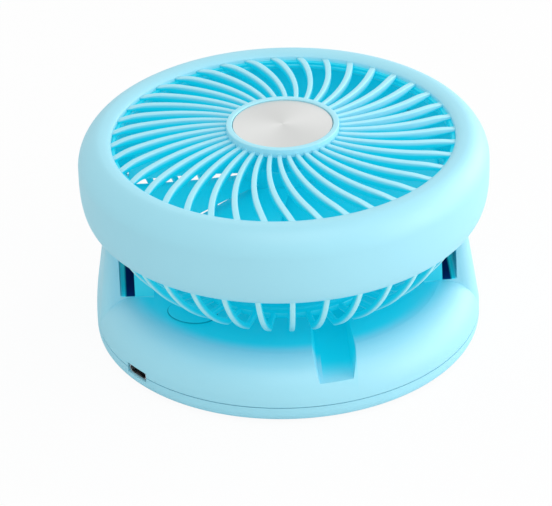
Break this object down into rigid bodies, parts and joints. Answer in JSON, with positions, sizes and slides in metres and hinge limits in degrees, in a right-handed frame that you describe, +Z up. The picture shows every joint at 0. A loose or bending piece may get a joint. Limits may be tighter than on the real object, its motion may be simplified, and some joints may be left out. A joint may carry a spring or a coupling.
{
  "type": "folding mini desk fan",
  "caption": "Folding desk fan: round rimmed head with swirl front grille and ribbed rear bowl, hinged between two ears on a rounded base.",
  "frame": {"origin": "on the desk, under the axis of the folded head", "axes": "+Z up along the folded head's axis, -Y to the finger notch in front, X along the fold hinge"},
  "size_m": [0.14, 0.14, 0.079],
  "materials": {
    "shell_plastic": "fine satin moulded plastic",
    "grille_plastic": "fine satin moulded plastic",
    "impeller_plastic": "satin translucent-looking plastic",
    "badge_metal": "spun, circular brushed",
    "steel": "bright steel",
    "bronze": "sintered bronze",
    "magnet": "dark ferrite",
    "copper": "copper",
    "black_plastic": "satin black plastic",
    "foot_rubber": "soft matt rubber",
    "battery_wrap": "silver pouch foil",
    "foam": "closed-cell foam",
    "board_green": "solder mask",
    "friction_plastic": "slippery white plastic"
  },
  "bodies": {
    "base": {"base_top_shell": "shell_plastic", "base_bottom_cover": "shell_plastic", "rubber_feet": "foot_rubber", "base_screws": "steel", "battery_cell": "battery_wrap", "battery_foam_pad": "foam", "control_board": "board_green", "board_components": "black_plastic", "board_screws": "steel", "usb_socket": "steel", "usb_tongue": "black_plastic", "tact_switch": "black_plastic", "hinge_pin_left": "steel", "hinge_pin_right": "steel", "friction_washers": "friction_plastic"},
    "head": {"front_shroud": "shell_plastic", "front_grille": "grille_plastic", "hub_badge": "badge_metal", "rear_grille": "grille_plastic", "motor_mount": "shell_plastic", "hinge_arm_left": "shell_plastic", "hinge_arm_right": "shell_plastic", "arm_screws": "steel", "head_screws": "steel", "motor_can": "steel", "motor_end_cap": "black_plastic", "motor_bush_upper": "bronze", "motor_bush_lower": "bronze", "motor_magnets": "magnet", "motor_screws": "steel"},
    "impeller": {"impeller": "impeller_plastic", "motor_shaft": "steel", "rotor_core": "steel", "commutator": "copper", "shaft_collar": "black_plastic"},
    "button": {"power_button": "shell_plastic", "switch_plunger": "black_plastic"}
  },
  "joints": [
    {"name": "head_fold", "type": "hinge", "parent": "base", "child": "head", "pos_m": [0, 0.035, 0.0384], "axis": [-1, 0, 0], "range_deg": [0, 80]},
    {"name": "impeller_spin", "type": "hinge", "parent": "head", "child": "impeller", "pos_m": [0, 0, 0.06], "axis": [0, 0, 1], "continuous": true},
    {"name": "power_press", "type": "slide", "parent": "base", "child": "button", "axis": [0, 0, -1], "range_m": [0, 0.0008], "stiffness_N_per_m": 1500}
  ]
}
